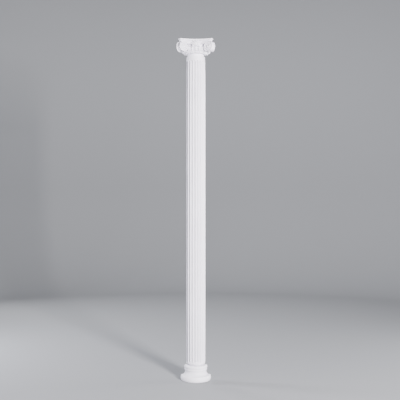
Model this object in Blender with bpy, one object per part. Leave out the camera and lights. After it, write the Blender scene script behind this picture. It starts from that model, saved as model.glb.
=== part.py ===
"""Engaged half column: a turned base, a fluted shaft and an angular Ionic capital.

Metres, +Z up, front towards -Y. Each moulding is a hollow half shell that is open to the wall.
Every shape is drawn about the column's axis, with the wall as the plane y = 0, and a parent
empty then moves the whole so that the middle of its footprint is the origin.
"""

import math

import bmesh
import bpy
from mathutils import Matrix, Vector

# Heights along the column
BASE_HEIGHT = 0.110
BASE_NECK = 0.009
SHAFT_LENGTH = 2.200
CAPITAL_NECK = 0.017
CAPITAL_HEIGHT = 0.094

# Fits between the mouldings
SEAT_GAP = 0.0003
SOCKET_DEPTH = 0.004
SOCKET_CLEARANCE = 0.0003

# Base
BASE_WIDTH = 0.217
BASE_FOOT_RADIUS = 0.1015
BASE_BORE_RADIUS = 0.042
BASE_COLLAR_RADIUS = 0.0513
BASE_SEAT_RADIUS = 0.0715
UPPER_TORUS_RADIUS = 0.083
UPPER_TORUS_HEIGHT = 0.0235
UPPER_NOTCH_RADIUS = 0.0790
BEAD_RADIUS = 0.0812
BEAD_HEIGHT = 0.0115
SCOTIA_RADIUS = 0.0770
SCOTIA_FOOT_RADIUS = 0.1010
LOWER_TORUS_HEIGHT = 0.0385
SCOTIA_HEIGHT = 0.0250
NOTCH_HEIGHT = 0.0015
SCOTIA_WAIST_SHARE = 0.35

# Shaft
SHAFT_RADIUS = 0.0687
SHAFT_TOP_RADIUS = 0.0662
SHAFT_BOTTOM_RADIUS = 0.0675
SHAFT_BORE_RADIUS = 0.0455
SHAFT_EDGE_EASE = 0.0015
ENTASIS_POWER = 10
FLUTE_COUNT = 10
FLUTE_DEPTH = 0.0042
FLUTE_FILLET = 0.0058
TOP_BAND = 0.029
BOTTOM_BAND = 0.0125

# Capital
CAPITAL_WIDTH = 0.272
CAPITAL_BORE_RADIUS = 0.049
CAPITAL_COLLAR_RADIUS = 0.0584
BELL_RADIUS = 0.088
ECHINUS_RADIUS = 0.097
BOWL_FOOT_RADIUS = 0.0785
BEAD_RING_RADIUS = 0.0870
BEAD_RING_HEIGHT = 0.009
# Echinus from its top down: share of its height, share of its swell past the bowl's foot
ECHINUS_SWELL = ((1.0, 0.85), (0.6, 1.0), (0.2, 0.72), (0.0, 0.25))

# Abacus
ABACUS_WIDTH = 0.245
ABACUS_THICKNESS = 0.019
ABACUS_FILLET = 0.008
ABACUS_UNDERCUT = 0.0085
# Edge under the fillet: share of the height left below it, share of the undercut
ABACUS_EDGE = ((0.10, 0.80), (0.32, 0.56), (0.70, 0.68), (1.0, 1.0))
ABACUS_HOLLOW = 0.0215
ABACUS_CORNER_CUT = 0.014

# Channel between the volutes, under the abacus
CHANNEL_PLANE = 0.095
CHANNEL_HEIGHT = 0.015
CHANNEL_RIM_SLOPE = 0.0020
CHANNEL_STEPS = 8

# Corner volutes
VOLUTE_RADIUS = 0.039
VOLUTE_PITCH = 0.0105
VOLUTE_TURNS = 2
VOLUTE_START = math.radians(60)
VOLUTE_SPLAY = math.radians(31)
VOLUTE_EYE_OFFSET = 0.082
VOLUTE_EYE_DROP = 0.056
VOLUTE_EYE_RADIUS = 0.0075
VOLUTE_EYE_RISE = 0.003
VOLUTE_FILLET = 0.0034
VOLUTE_SINK = 0.0040
VOLUTE_WAIST = 0.0050
VOLUTE_ROOT = 0.046
VOLUTE_BED_SHARE = 0.35
EYE_CROWN_SHARE = 0.6
BOLSTER_SHARES = (0.2, 0.5, 0.8)

# Egg-and-dart, counted round a whole column
EGG_COUNT = 24
EGG_PLACES = (-6, -5, -1, 0, 1, 5, 6)
DART_PLACES = (-5.5, -1.5, -0.5, 0.5, 1.5, 5.5)
EGG_DROP = 0.0665
EGG_HALF_WIDTH = 0.0092
EGG_HALF_HEIGHT = 0.0175
EGG_HALF_DEPTH = 0.0110
EGG_SETBACK = 0.0030
EGG_TILT = math.radians(11)
DART_HALF_WIDTH = 0.0024
DART_HALF_HEIGHT = 0.0140
DART_HALF_DEPTH = 0.0050

# Flower on the middle of each side of the abacus
FLOWER_WIDTH = 0.066
FLOWER_HEIGHT = 0.0452
FLOWER_TIP_DROP = 0.0013
FLOWER_PLANE = 0.100
FLOWER_RELIEF = 0.0085
FLOWER_ROOT = 0.032
FLOWER_PETALS = 9

# Leaf between each volute and the eggs
LEAF_WIDTH = 0.031
LEAF_HEIGHT = 0.034
LEAF_ANGLE = math.radians(30)
LEAF_DROP = 0.066
LEAF_LEAN = math.radians(55)
LEAF_PLANE = 0.0975
LEAF_RELIEF = 0.0090
LEAF_ROOT = 0.024
LEAF_PETALS = 7

# Petals of flower and leaf: where they spring from, how far they part, and their swell outwards
PALMETTE_HEART = 0.30
PETAL_STEPS = (-0.5, -0.25, 0.0, 0.25)
PETAL_NOTCH = 0.28
PETAL_VALLEY = 0.25
PETAL_ROWS = ((0.26, 0.35), (0.70, 1.0), (1.0, 0.30))

# Fineness of the facets
BASE_SEGMENTS = 24
CAPITAL_SEGMENTS = 25
VOLUTE_SEGMENTS = 20
ABACUS_ARC_STEPS = 10
SHAFT_ROW_SHARES = (0.08, 0.2, 0.5, 0.8, 0.92)
FLUTE_STEPS = (-1.0, -0.5, 0.0, 0.5, 1.0)

# Levels that follow from the heights
SHAFT_BOTTOM = BASE_HEIGHT + BASE_NECK
SHAFT_TOP = SHAFT_BOTTOM + SHAFT_LENGTH
CAPITAL_BOTTOM = SHAFT_TOP + CAPITAL_NECK
COLUMN_TOP = CAPITAL_BOTTOM + CAPITAL_HEIGHT
HALF_TURN = math.pi
WALL_OVERRUN = math.radians(6)


def clear_scene():
    for old in list(bpy.data.objects):
        bpy.data.objects.remove(old, do_unlink=True)


def foam_material(name, color):
    """Painted white polyurethane foam, satin."""
    material = bpy.data.materials.new(name)
    material.use_nodes = True
    shader = material.node_tree.nodes["Principled BSDF"]
    shader.inputs["Base Color"].default_value = (*color, 1.0)
    shader.inputs["Roughness"].default_value = 0.55
    shader.inputs["Metallic"].default_value = 0.0
    return material


def finish_mesh(bm, name, crease=math.radians(32)):
    """Weld, face outwards and shade smooth between the creases."""
    bmesh.ops.remove_doubles(bm, verts=bm.verts, dist=0.000005)
    bmesh.ops.dissolve_degenerate(bm, edges=bm.edges, dist=0.000005)
    bmesh.ops.recalc_face_normals(bm, faces=bm.faces)
    mesh = bpy.data.meshes.new(name)
    bm.to_mesh(mesh)
    bm.free()
    mesh.shade_smooth()
    mesh.set_sharp_from_angle(angle=crease)
    return mesh


def add_object(bm, name, parent, material):
    obj = bpy.data.objects.new(name, finish_mesh(bm, name))
    obj.data.materials.append(material)
    bpy.context.scene.collection.objects.link(obj)
    obj.parent = parent
    return obj


def add_guide(bm, name, collection, parent):
    """A carved form or a cutter, which stays hidden beside the solid that uses it."""
    guide = bpy.data.objects.new(name, finish_mesh(bm, name))
    collection.objects.link(guide)
    guide.parent = parent
    guide.hide_render = True
    guide.display_type = "WIRE"
    return guide


def bridge_rows(bm, rows, closed):
    """Quads between neighbouring rows of vertices; a closed row also joins its last to its first."""
    for near, far in zip(rows, rows[1:]):
        count = len(near)
        for i in range(count if closed else count - 1):
            j = (i + 1) % count
            bm.faces.new((near[i], near[j], far[j], far[i]))


def turned_point(radius, angle, z):
    """A point round the axis, where angle 0 is the front and a quarter turn is the wall."""
    return Vector((radius * math.sin(angle), -radius * math.cos(angle), z))


def half_turn(profile, segments, overrun=0.0):
    """Turn a closed outline of (radius, z) points through a half, and by overrun past the wall."""
    bm = bmesh.new()
    rows = []
    for i in range(segments + 1):
        angle = (HALF_TURN + 2 * overrun) * (i / segments - 0.5)
        row = []
        for radius, z in profile:
            point = turned_point(radius, angle, z)
            if i in (0, segments) and not overrun:
                point.y = 0.0
            row.append(bm.verts.new(point))
        rows.append(row)
    bridge_rows(bm, rows, closed=True)
    bm.faces.new(rows[0])
    bm.faces.new(list(reversed(rows[-1])))
    return bm


def arc(center, radii, start, end, steps):
    """Points of an elliptic arc in the (radius, z) plane, from start to end in degrees."""
    points = []
    for i in range(steps + 1):
        angle = math.radians(start + (end - start) * i / steps)
        points.append((center[0] + radii[0] * math.cos(angle), center[1] + radii[1] * math.sin(angle)))
    return points


def base_profile():
    """Outline of the base from its collar down its face and up its bore."""
    upper_bottom = BASE_HEIGHT - UPPER_TORUS_HEIGHT
    bead_top = upper_bottom - NOTCH_HEIGHT
    bead_bottom = bead_top - BEAD_HEIGHT
    scotia_top = bead_bottom - NOTCH_HEIGHT
    collar_top = SHAFT_BOTTOM + SOCKET_DEPTH - SEAT_GAP
    lower_mid = LOWER_TORUS_HEIGHT / 2
    upper_mid = BASE_HEIGHT - UPPER_TORUS_HEIGHT / 2
    bead_mid = (bead_top + bead_bottom) / 2
    narrow = scotia_top - SCOTIA_HEIGHT * SCOTIA_WAIST_SHARE
    points = [
        (BASE_BORE_RADIUS, collar_top),
        (BASE_COLLAR_RADIUS, collar_top),
        (BASE_COLLAR_RADIUS, BASE_HEIGHT),
        (BASE_SEAT_RADIUS, BASE_HEIGHT),
    ]
    upper_reach = UPPER_TORUS_RADIUS - UPPER_NOTCH_RADIUS
    seat_reach = UPPER_TORUS_RADIUS - BASE_SEAT_RADIUS
    half = UPPER_TORUS_HEIGHT / 2
    points += arc((BASE_SEAT_RADIUS, upper_mid), (seat_reach, half), 72, 0, 4)
    points += arc((UPPER_NOTCH_RADIUS, upper_mid), (upper_reach, half), -24, -90, 3)
    points.append((UPPER_NOTCH_RADIUS, bead_top))
    bead_reach = BEAD_RADIUS - UPPER_NOTCH_RADIUS
    points += arc((UPPER_NOTCH_RADIUS, bead_mid), (bead_reach, BEAD_HEIGHT / 2), 55, -55, 4)
    points.append((UPPER_NOTCH_RADIUS, bead_bottom))
    points.append((UPPER_NOTCH_RADIUS, scotia_top))
    points.append((SCOTIA_RADIUS, narrow))
    flare = SCOTIA_FOOT_RADIUS - SCOTIA_RADIUS
    drop = narrow - LOWER_TORUS_HEIGHT
    points += arc((SCOTIA_FOOT_RADIUS, narrow), (flare, drop), 198, 262, 5)
    points.append((SCOTIA_FOOT_RADIUS, LOWER_TORUS_HEIGHT))
    lower_reach = BASE_WIDTH / 2 - BASE_FOOT_RADIUS
    points += arc((BASE_FOOT_RADIUS, lower_mid), (lower_reach, lower_mid), 75, -75, 8)
    points.append((BASE_FOOT_RADIUS, 0.0))
    points.append((BASE_BORE_RADIUS, 0.0))
    return points


def shaft_radius(z):
    """Radius of the shaft between the flutes, which draws in towards its ends."""
    along = 2 * (z - SHAFT_BOTTOM) / SHAFT_LENGTH - 1
    end = SHAFT_TOP_RADIUS if along > 0 else SHAFT_BOTTOM_RADIUS
    return SHAFT_RADIUS - (SHAFT_RADIUS - end) * abs(along) ** ENTASIS_POWER


def shaft_rows():
    """(z, radius, share of a flute's full width) for each row up the outside of the shaft."""
    pitch = HALF_TURN / FLUTE_COUNT
    half_width = (pitch * SHAFT_RADIUS - FLUTE_FILLET) / 2
    low = SHAFT_BOTTOM + BOTTOM_BAND
    high = SHAFT_TOP - TOP_BAND
    rows = [(SHAFT_BOTTOM, shaft_radius(SHAFT_BOTTOM) - SHAFT_EDGE_EASE, None)]
    rows.append((SHAFT_BOTTOM + SHAFT_EDGE_EASE, shaft_radius(SHAFT_BOTTOM), None))
    ends = [math.radians(a) for a in (90, 60, 30, 0)]
    rows += [(low + half_width * (1 - math.sin(a)), None, math.cos(a)) for a in ends]
    rows += [(SHAFT_BOTTOM + SHAFT_LENGTH * share, None, 1.0) for share in SHAFT_ROW_SHARES]
    rows += [(high - half_width * (1 - math.sin(a)), None, math.cos(a)) for a in reversed(ends)]
    rows.append((SHAFT_TOP - SHAFT_EDGE_EASE, shaft_radius(SHAFT_TOP), None))
    rows.append((SHAFT_TOP, shaft_radius(SHAFT_TOP) - SHAFT_EDGE_EASE, None))
    return [(z, radius or shaft_radius(z), share) for z, radius, share in rows]


def flute_columns(radius, share):
    """(angle, radius) of each point round the shaft, where share is None on the plain bands."""
    pitch = HALF_TURN / FLUTE_COUNT
    half_angle = (pitch - FLUTE_FILLET / SHAFT_RADIUS) / 2
    open_share = 1.0 if share is None else share
    depth = 0.0 if share is None else FLUTE_DEPTH * share
    columns = [(-HALF_TURN / 2, radius)]
    for flute in range(FLUTE_COUNT):
        middle = pitch * (flute + 0.5) - HALF_TURN / 2
        for step in FLUTE_STEPS:
            cut = depth * (1 - step * step)
            columns.append((middle + step * half_angle * open_share, radius - cut))
        columns.append((middle + pitch / 2, radius))
    return columns


def shaft_body():
    """The fluted half shell, with a shallow socket for a collar in each end."""
    bm = bmesh.new()
    rings = []
    for z, radius, share in shaft_rows():
        rings.append([(angle, reach, z) for angle, reach in flute_columns(radius, share)])
    plain = [angle for angle, _ in flute_columns(SHAFT_RADIUS, None)]
    top_socket = CAPITAL_COLLAR_RADIUS + SOCKET_CLEARANCE
    low_socket = BASE_COLLAR_RADIUS + SOCKET_CLEARANCE
    inside = [
        (top_socket, SHAFT_TOP),
        (top_socket, SHAFT_TOP - SOCKET_DEPTH),
        (SHAFT_BORE_RADIUS, SHAFT_TOP - SOCKET_DEPTH),
        (SHAFT_BORE_RADIUS, SHAFT_BOTTOM + SOCKET_DEPTH),
        (low_socket, SHAFT_BOTTOM + SOCKET_DEPTH),
        (low_socket, SHAFT_BOTTOM),
    ]
    for radius, z in inside:
        rings.append([(angle, radius, z) for angle in plain])
    rows = []
    for ring in rings:
        row = []
        for i, (angle, radius, z) in enumerate(ring):
            point = turned_point(radius, angle, z)
            if i in (0, len(ring) - 1):
                point.y = 0.0
            row.append(bm.verts.new(point))
        rows.append(row)
    bridge_rows(bm, rows + [rows[0]], closed=False)
    bm.faces.new([row[0] for row in rows])
    bm.faces.new([row[-1] for row in reversed(rows)])
    return bm


def capital_profile():
    """Outline of the bell, echinus and collar, drawn down the face and up the bore.

    The bore's top is hidden in the channel band, whose underside is the ceiling.
    """
    collar_bottom = SHAFT_TOP - SOCKET_DEPTH + SEAT_GAP
    bore_top = COLUMN_TOP - ABACUS_THICKNESS - CHANNEL_HEIGHT / 2
    bell_top = COLUMN_TOP - ABACUS_THICKNESS / 2
    ring_mid = CAPITAL_BOTTOM + BEAD_RING_HEIGHT / 2
    ring_top = CAPITAL_BOTTOM + BEAD_RING_HEIGHT
    echinus_height = EGG_HALF_HEIGHT * 2
    swell = ECHINUS_RADIUS - BOWL_FOOT_RADIUS
    points = [(0.0, bore_top), (0.0, bell_top), (BELL_RADIUS, bell_top)]
    points.append((BELL_RADIUS, ring_top + echinus_height))
    for share, reach in ECHINUS_SWELL:
        points.append((BOWL_FOOT_RADIUS + reach * swell, ring_top + share * echinus_height))
    reach = BEAD_RING_RADIUS - BOWL_FOOT_RADIUS
    points += arc((BOWL_FOOT_RADIUS, ring_mid), (reach, BEAD_RING_HEIGHT / 2), 45, -45, 3)
    points.append((BOWL_FOOT_RADIUS, CAPITAL_BOTTOM))
    points.append((CAPITAL_COLLAR_RADIUS, CAPITAL_BOTTOM))
    points.append((CAPITAL_COLLAR_RADIUS, collar_bottom))
    points.append((CAPITAL_BORE_RADIUS, collar_bottom))
    points.append((CAPITAL_BORE_RADIUS, bore_top))
    return points


def abacus_plan(inset):
    """Plan of the abacus drawn in by inset: hollow sides, cut corners and a run past the wall."""
    reach = ABACUS_WIDTH / 2 - inset
    cut = ABACUS_CORNER_CUT - inset * (2 - math.sqrt(2))
    corner = reach - cut
    front = []
    for i in range(ABACUS_ARC_STEPS + 1):
        along = 2 * i / ABACUS_ARC_STEPS - 1
        front.append((along * corner, -(reach - ABACUS_HOLLOW * (1 - along * along))))
    middle = ABACUS_ARC_STEPS // 2
    left = [(y, x) for x, y in reversed(front[: middle + 2])]
    right = [(-x, y) for x, y in reversed(left)]
    return left + front + right


def abacus_body():
    """The abacus with its grooved edge."""
    shoulder = COLUMN_TOP - ABACUS_FILLET
    lower = ABACUS_THICKNESS - ABACUS_FILLET
    levels = [(COLUMN_TOP, 0.0), (shoulder, 0.0)]
    levels += [(shoulder - share * lower, inset * ABACUS_UNDERCUT) for share, inset in ABACUS_EDGE]
    bm = bmesh.new()
    rows = []
    for z, inset in levels:
        rows.append([bm.verts.new((x, y, z)) for x, y in abacus_plan(inset)])
    bridge_rows(bm, rows, closed=True)
    bm.faces.new(rows[0])
    bm.faces.new(list(reversed(rows[-1])))
    return bm


def volute_eye():
    """The eye of the left volute's front scroll, set so that its rim reaches the full depth."""
    rims = [spiral_radius(i / VOLUTE_SEGMENTS) for i in range(VOLUTE_SEGMENTS + 1)]
    angles = [VOLUTE_START + 2 * math.pi * i / VOLUTE_SEGMENTS for i in range(VOLUTE_SEGMENTS + 1)]
    reach = max(-radius * math.cos(angle) for radius, angle in zip(rims, angles))
    depth = CAPITAL_WIDTH / 2 - reach * math.sin(VOLUTE_SPLAY)
    return Vector((-VOLUTE_EYE_OFFSET, -depth, COLUMN_TOP - VOLUTE_EYE_DROP))


def channel_body():
    """A band that curves from scroll to scroll on each side, with a raised rim along its foot."""
    eye = volute_eye()
    spread = (-eye.y - CHANNEL_PLANE) / eye.x**2
    top = COLUMN_TOP - ABACUS_THICKNESS + VOLUTE_FILLET / 2
    bottom = COLUMN_TOP - ABACUS_THICKNESS - CHANNEL_HEIGHT
    rim = bottom + VOLUTE_FILLET
    levels = [(top, VOLUTE_SINK), (rim + CHANNEL_RIM_SLOPE, VOLUTE_SINK), (rim, 0.0), (bottom, 0.0)]
    bm = bmesh.new()
    rows = []
    for z, sink in levels:
        front = []
        for i in range(CHANNEL_STEPS + 1):
            x = eye.x * (1 - 2 * i / CHANNEL_STEPS)
            front.append((x, -(CHANNEL_PLANE - sink + spread * x * x)))
        left = [(y, x) for x, y in reversed(front[: CHANNEL_STEPS // 2 + 2])]
        right = [(-x, y) for x, y in reversed(left)]
        rows.append([bm.verts.new((x, y, z)) for x, y in left + front + right])
    bridge_rows(bm, rows, closed=True)
    bm.faces.new(rows[0])
    bm.faces.new(list(reversed(rows[-1])))
    return bm


def spiral_radius(turn):
    return VOLUTE_RADIUS - VOLUTE_PITCH * turn


def volute_face():
    """Rows of (inward, up, rise) across the scroll: rim, inner edge of the rim, channel bed."""
    strip = []
    for i in range(VOLUTE_TURNS * VOLUTE_SEGMENTS + 1):
        turn = i / VOLUTE_SEGMENTS
        angle = VOLUTE_START + 2 * math.pi * turn
        outer = spiral_radius(turn)
        bed = outer - VOLUTE_FILLET - VOLUTE_BED_SHARE * (VOLUTE_PITCH - VOLUTE_FILLET)
        row = []
        for radius, rise in ((outer, 0.0), (outer - VOLUTE_FILLET, 0.0), (bed, -VOLUTE_SINK)):
            row.append((radius * math.cos(angle), radius * math.sin(angle), rise))
        strip.append(row)
    return strip


def eye_ring(reach, rise):
    """Points round the eye of the scroll, as (inward, up, rise)."""
    ring = []
    for i in range(VOLUTE_SEGMENTS):
        angle = VOLUTE_START + 2 * math.pi * i / VOLUTE_SEGMENTS
        ring.append((reach * math.cos(angle), reach * math.sin(angle), rise))
    return ring


def add_scroll(bm, strip, vertex):
    """One face of a volute from its strip; returns the loop of vertices round its edge."""
    grid = [[vertex(point) for point in row] for row in strip]
    ring = [vertex(point) for point in eye_ring(VOLUTE_EYE_RADIUS, -VOLUTE_SINK)]
    crown = [vertex(point) for point in eye_ring(EYE_CROWN_SHARE * VOLUTE_EYE_RADIUS, VOLUTE_EYE_RISE)]
    last = len(grid) - 1
    for i in range(last):
        inner = i + VOLUTE_SEGMENTS
        if inner < last:
            beyond = (grid[inner][0], grid[inner + 1][0])
        else:
            beyond = (ring[i % VOLUTE_SEGMENTS], ring[(i + 1) % VOLUTE_SEGMENTS])
        near = grid[i] + [beyond[0]]
        far = grid[i + 1] + [beyond[1]]
        for m in range(len(near) - 1):
            bm.faces.new((near[m], near[m + 1], far[m + 1], far[m]))
    bm.faces.new([grid[last - VOLUTE_SEGMENTS][2]] + grid[last] + [ring[0]])
    bridge_rows(bm, [ring, crown], closed=True)
    bm.faces.new(crown)
    return [row[0] for row in grid[: VOLUTE_SEGMENTS + 1]] + [grid[0][2], grid[0][1]]


def volute_body(side):
    """A corner volute: one scroll faces the front, its mirror in the diagonal faces the side."""
    strip = volute_face()
    inward = Vector((math.cos(VOLUTE_SPLAY), math.sin(VOLUTE_SPLAY), 0))
    outward = Vector((math.sin(VOLUTE_SPLAY), -math.cos(VOLUTE_SPLAY), 0))
    diagonal = Vector((1, 1, 0)).normalized()
    eye = volute_eye()
    bm = bmesh.new()

    def place(point):
        across, up, rise = point
        return eye + inward * across + Vector((0, 0, up)) + outward * rise

    def mirrored(spot):
        return Vector((spot.y, spot.x, spot.z))

    def vertex(spot):
        return bm.verts.new((spot.x * side, spot.y, spot.z))

    front = add_scroll(bm, strip, lambda point: vertex(place(point)))
    back = add_scroll(bm, strip, lambda point: vertex(mirrored(place(point))))
    outline = [place(row[0]) for row in strip[: VOLUTE_SEGMENTS + 1]]
    outline += [place(strip[0][2]), place(strip[0][1])]
    rows = [front]
    for share in BOLSTER_SHARES:
        swell = 4 * share * (1 - share)
        center = eye.lerp(mirrored(eye), share)
        row = []
        for spot in outline:
            point = spot.lerp(mirrored(spot), share)
            point -= (point - center).normalized() * VOLUTE_WAIST * swell
            towards_axis = max(0.0, (spot - eye).dot(inward)) / VOLUTE_RADIUS
            point += diagonal * VOLUTE_ROOT * swell * towards_axis
            row.append(vertex(point))
        rows.append(row)
    rows.append(back)
    bridge_rows(bm, rows, closed=True)
    return bm


def placed_sphere(bm, center, half_sizes, turn, tilt, segments, rings):
    """An ellipsoid that faces out at the given angle round the axis, tilted over at its top."""
    width, depth, height = half_sizes
    matrix = (
        Matrix.Translation(center)
        @ Matrix.Rotation(turn, 4, "Z")
        @ Matrix.Rotation(tilt, 4, "X")
        @ Matrix.Diagonal((width, depth, height, 1))
    )
    bmesh.ops.create_uvsphere(bm, u_segments=segments, v_segments=rings, radius=1.0, matrix=matrix)


def egg_bodies():
    """Eggs and the darts between them, clear of the volutes."""
    bm = bmesh.new()
    pitch = 2 * math.pi / EGG_COUNT
    z = COLUMN_TOP - EGG_DROP
    egg = (EGG_HALF_WIDTH, EGG_HALF_DEPTH, EGG_HALF_HEIGHT)
    dart = (DART_HALF_WIDTH, DART_HALF_DEPTH, DART_HALF_HEIGHT)
    for place in EGG_PLACES:
        center = turned_point(ECHINUS_RADIUS - EGG_SETBACK, place * pitch, z)
        placed_sphere(bm, center, egg, place * pitch, EGG_TILT, 8, 6)
    for place in DART_PLACES:
        center = turned_point(ECHINUS_RADIUS, place * pitch, z)
        placed_sphere(bm, center, dart, place * pitch, EGG_TILT, 4, 4)
    return bm


def cut_at_wall(bm):
    """Cut off what reaches behind the wall plane and close the cut."""
    geometry = bm.verts[:] + bm.edges[:] + bm.faces[:]
    bmesh.ops.bisect_plane(
        bm, geom=geometry, dist=0.000005, plane_co=(0, 0, 0), plane_no=(0, 1, 0), clear_outer=True
    )
    rim = [edge for edge in bm.edges if edge.is_boundary]
    bmesh.ops.holes_fill(bm, edges=rim, sides=0)


def petal_columns(size, petals):
    """(angle, length, crest) round the fan: crest is 1 along a petal and low between two."""
    width, height = size
    heart = PALMETTE_HEART * height
    columns = []
    for k in range(petals):
        bearing = 2 * math.pi * (k - (petals - 1) / 2) / petals
        for step in PETAL_STEPS:
            angle = bearing + step * 2 * math.pi / petals
            droop = (1 - math.cos(angle)) / 2
            upper = math.hypot((height - heart) * math.cos(angle), width / 2 * math.sin(angle))
            lower = math.hypot(heart * math.cos(angle), width / 2 * math.sin(angle))
            length = upper * (1 - droop) + lower * droop
            ripple = (1 + math.cos(2 * math.pi * step)) / 2
            length *= 1 - PETAL_NOTCH * (1 - ripple)
            columns.append((angle, length, 1 - (1 - PETAL_VALLEY) * (1 - ripple)))
    return columns


def add_palmette(bm, frame, size, relief, root, petals):
    """A fan of petals round a boss: the petal at the top is pointed, the lowest are short."""
    heart = PALMETTE_HEART * size[1]
    columns = petal_columns(size, petals)

    def spot(angle, out, lift):
        return bm.verts.new(frame @ Vector((out * math.sin(angle), -lift, heart + out * math.cos(angle))))

    rows = []
    for reach, rise in PETAL_ROWS:
        rows.append([spot(angle, length * reach, relief * rise * crest) for angle, length, crest in columns])
    rows.append([spot(angle, length, -root) for angle, length, _ in columns])
    boss = spot(0.0, 0.0, relief)
    for i, first in enumerate(rows[0]):
        bm.faces.new((boss, first, rows[0][(i + 1) % len(rows[0])]))
    bridge_rows(bm, rows, closed=True)
    bm.faces.new(list(reversed(rows[-1])))


def flower_bodies():
    """A flower at the front and one on each side, where the wall cuts it in half."""
    bm = bmesh.new()
    bottom = COLUMN_TOP - FLOWER_TIP_DROP - FLOWER_HEIGHT
    for quarter in (-1, 0, 1):
        turn = quarter * HALF_TURN / 2
        frame = Matrix.Rotation(turn, 4, "Z") @ Matrix.Translation((0, -FLOWER_PLANE, bottom))
        size = (FLOWER_WIDTH, FLOWER_HEIGHT)
        add_palmette(bm, frame, size, FLOWER_RELIEF, FLOWER_ROOT, FLOWER_PETALS)
    return bm


def leaf_bodies():
    """The leaves that spring from the volutes over the echinus."""
    bm = bmesh.new()
    z = COLUMN_TOP - LEAF_DROP
    for side in (-1, 1):
        for turn, lean in ((LEAF_ANGLE, LEAF_LEAN), (HALF_TURN / 2 - LEAF_ANGLE, -LEAF_LEAN)):
            frame = (
                Matrix.Rotation(side * turn, 4, "Z")
                @ Matrix.Translation((0, -LEAF_PLANE, z))
                @ Matrix.Rotation(side * lean + math.pi, 4, "Y")
                @ Matrix.Translation((0, 0, -LEAF_HEIGHT / 2))
            )
            add_palmette(bm, frame, (LEAF_WIDTH, LEAF_HEIGHT), LEAF_RELIEF, LEAF_ROOT, LEAF_PETALS)
    return bm


def build_base(parent):
    white = foam_material("base_white", (0.86, 0.85, 0.87))
    add_object(half_turn(base_profile(), BASE_SEGMENTS), "base", parent, white)


def build_shaft(parent):
    white = foam_material("shaft_white", (0.87, 0.86, 0.88))
    add_object(shaft_body(), "shaft", parent, white)


def build_capital(parent):
    """Join the carved forms to the bell, then cut the whole flat at the wall."""
    white = foam_material("capital_white", (0.85, 0.84, 0.86))
    scene_objects = bpy.context.scene.collection
    bell_turned = half_turn(capital_profile(), CAPITAL_SEGMENTS, WALL_OVERRUN)
    bell = add_guide(bell_turned, "bell_form", scene_objects, parent)
    forms = bpy.data.collections.new("capital_forms")
    scene_objects.children.link(forms)
    add_guide(abacus_body(), "abacus_form", forms, parent)
    add_guide(channel_body(), "channel_form", forms, parent)
    add_guide(volute_body(1), "left_volute_form", forms, parent)
    add_guide(volute_body(-1), "right_volute_form", forms, parent)
    add_guide(egg_bodies(), "egg_and_dart_form", forms, parent)
    add_guide(leaf_bodies(), "leaf_form", forms, parent)
    add_guide(flower_bodies(), "flower_form", forms, parent)
    union = bell.modifiers.new("carving", "BOOLEAN")
    union.operation = "UNION"
    union.solver = "EXACT"
    union.operand_type = "COLLECTION"
    union.collection = forms
    bpy.context.view_layer.update()
    carved = bmesh.new()
    carved.from_mesh(bell.evaluated_get(bpy.context.evaluated_depsgraph_get()).to_mesh())
    cut_at_wall(carved)
    add_object(carved, "capital", parent, white)


def build_column():
    clear_scene()
    axis = bpy.data.objects.new("half_column_axis", None)
    bpy.context.scene.collection.objects.link(axis)
    axis.location = (0, CAPITAL_WIDTH / 4, 0)
    build_base(axis)
    build_shaft(axis)
    build_capital(axis)


build_column()
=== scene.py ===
"""Looks of the engaged half column: a turned base, a fluted shaft and a carved Ionic capital.

Metres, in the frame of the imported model: +Z up, front towards -Y. Shapes are drawn about the
column's axis, with the wall as the plane y = 0, and moved back to the model's wall at the end.
"""

import math

import bmesh
import bpy
from mathutils import Matrix, Vector


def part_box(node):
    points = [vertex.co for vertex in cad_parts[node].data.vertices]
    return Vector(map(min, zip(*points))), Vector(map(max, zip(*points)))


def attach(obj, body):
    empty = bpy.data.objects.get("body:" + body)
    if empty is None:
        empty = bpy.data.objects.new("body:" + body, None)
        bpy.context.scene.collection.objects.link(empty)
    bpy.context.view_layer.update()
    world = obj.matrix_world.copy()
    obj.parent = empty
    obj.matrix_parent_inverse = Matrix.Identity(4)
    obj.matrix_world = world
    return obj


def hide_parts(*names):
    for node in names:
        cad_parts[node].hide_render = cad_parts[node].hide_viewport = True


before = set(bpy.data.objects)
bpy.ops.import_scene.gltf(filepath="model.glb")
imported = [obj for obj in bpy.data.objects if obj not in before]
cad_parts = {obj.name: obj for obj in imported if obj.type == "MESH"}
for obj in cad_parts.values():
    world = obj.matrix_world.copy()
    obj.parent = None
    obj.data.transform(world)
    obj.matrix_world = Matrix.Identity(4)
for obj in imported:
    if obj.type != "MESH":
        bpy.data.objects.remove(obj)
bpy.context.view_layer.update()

# Levels and sizes read from the model
BASE_LOW, BASE_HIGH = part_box("base")
SHAFT_LOW, SHAFT_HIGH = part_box("shaft")
CAPITAL_LOW, CAPITAL_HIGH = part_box("capital")
WALL_Y = CAPITAL_HIGH.y
BASE_WIDTH = BASE_HIGH.x - BASE_LOW.x
CAPITAL_WIDTH = CAPITAL_HIGH.x - CAPITAL_LOW.x
SHAFT_RADIUS = (SHAFT_HIGH.x - SHAFT_LOW.x) / 2
SHAFT_BOTTOM = SHAFT_LOW.z
SHAFT_TOP = SHAFT_HIGH.z
SHAFT_LENGTH = SHAFT_TOP - SHAFT_BOTTOM
COLUMN_TOP = CAPITAL_HIGH.z
COLLAR_TOP = BASE_HIGH.z
COLLAR_BOTTOM = CAPITAL_LOW.z

# Edges, and the fits between the mouldings
EDGE_EASE = 0.0006
CREASE_ANGLE = math.radians(40)
WELD_DISTANCE = 0.000004
SOCKET_DEPTH = 0.004
SOCKET_CLEARANCE = 0.0003

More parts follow.
